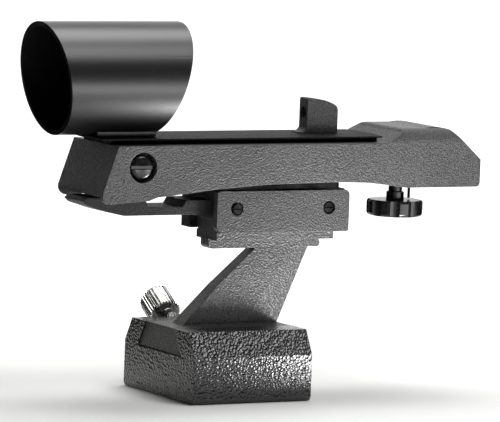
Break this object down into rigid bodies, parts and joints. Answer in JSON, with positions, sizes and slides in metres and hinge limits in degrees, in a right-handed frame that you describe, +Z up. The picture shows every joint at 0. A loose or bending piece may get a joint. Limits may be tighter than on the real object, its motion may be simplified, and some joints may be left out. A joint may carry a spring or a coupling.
{
  "type": "red dot finder",
  "caption": "Reflex sight for a telescope: short sight tube and lamp post on a tilting body, carried by a rail clamp on a slanted stalk in a dovetail shoe.",
  "frame": {"origin": "centre of the shoe's flat underside", "axes": "+Z up from the telescope's tube, +X towards the eye end of the sight, +Y to the lock screw's side"},
  "size_m": [0.1371, 0.0546, 0.1065],
  "materials": {
    "pebbled_plastic": "coarse grain",
    "grained_plastic": "fine grain",
    "satin_plastic": "satin",
    "gloss_knob": "glossy",
    "bright_metal": "knurled",
    "black_steel": "blackened",
    "brass": "turned",
    "coated_glass": "polished",
    "red_lamp": "clear red",
    "lead_sheath": "satin",
    "board": "lacquered",
    "board_tray": "moulded"
  },
  "bodies": {
    "shoe_body": {"shoe": "pebbled_plastic"},
    "lock_screw_body": {"lock_screw": "bright_metal"},
    "stalk_body": {"stalk": "pebbled_plastic"},
    "mount_body": {"mount_frame": "grained_plastic", "clamp_jaw": "grained_plastic", "clamp_screws": "black_steel", "swing_pivot": "bright_metal", "windage_nut": "brass"},
    "beam_body": {"swing_beam": "black_steel", "tilt_bushes": "brass", "click_wire": "bright_metal"},
    "windage_body": {"windage_screw": "gloss_knob", "windage_knob": "gloss_knob"},
    "sight_body": {"main_housing": "grained_plastic", "spine_deck": "grained_plastic", "deck_screws": "black_steel", "sight_tube": "satin_plastic", "lens": "coated_glass", "lens_ring": "satin_plastic", "led_post": "grained_plastic", "led": "red_lamp", "led_lead": "lead_sheath", "circuit_board": "board", "battery_tray": "board_tray", "battery_cell": "bright_metal", "contact_top": "bright_metal", "contact_bottom": "bright_metal", "elevation_insert": "brass"},
    "elevation_body": {"elevation_screw": "gloss_knob"},
    "dial_body": {"brightness_dial": "gloss_knob"},
    "cover_body": {"battery_cover": "grained_plastic"}
  },
  "joints": [
    {"name": "lock_turn", "type": "hinge", "parent": "shoe_body", "child": "lock_screw_body", "pos_m": [-0.0045, 0.01925, 0.0166], "axis": [0, 0.8616, 0.5075], "continuous": true},
    {"name": "shoe_slide", "type": "slide", "parent": "shoe_body", "child": "stalk_body", "axis": [1, 0, 0], "range_m": [0, 0.042]},
    {"name": "rail_slide", "type": "slide", "parent": "stalk_body", "child": "mount_body", "axis": [1, 0, 0], "range_m": [-0.006, 0.006]},
    {"name": "windage_swing", "type": "hinge", "parent": "mount_body", "child": "beam_body", "pos_m": [0.02, 0, 0.0601], "axis": [0, 0, 1], "range_deg": [-1.2, 1.2]},
    {"name": "windage_turn", "type": "hinge", "parent": "beam_body", "child": "windage_body", "pos_m": [-0.0335, 0, 0.0665], "axis": [0, -1, 0], "range_deg": [-577.24, 577.24]},
    {"name": "elevation_tilt", "type": "hinge", "parent": "beam_body", "child": "sight_body", "pos_m": [-0.0335, 0, 0.0665], "axis": [0, -1, 0], "range_deg": [-1, 1]},
    {"name": "elevation_turn", "type": "hinge", "parent": "beam_body", "child": "elevation_body", "pos_m": [0.0567, 0, 0.0525], "axis": [0, 0, 1], "range_deg": [-810.6, 810.6]},
    {"name": "brightness_turn", "type": "hinge", "parent": "sight_body", "child": "dial_body", "pos_m": [0.041, 0.016, 0.0669], "axis": [0, 1, 0], "range_deg": [0, 270]},
    {"name": "cover_slide", "type": "slide", "parent": "sight_body", "child": "cover_body", "axis": [0.7444, 0, -0.6677], "range_m": [0, 0.012]}
  ],
  "couplings": [
    {"joint": "windage_turn", "follows": "windage_swing", "ratio": 480.2},
    {"joint": "elevation_turn", "follows": "elevation_tilt", "ratio": 809.6}
  ]
}
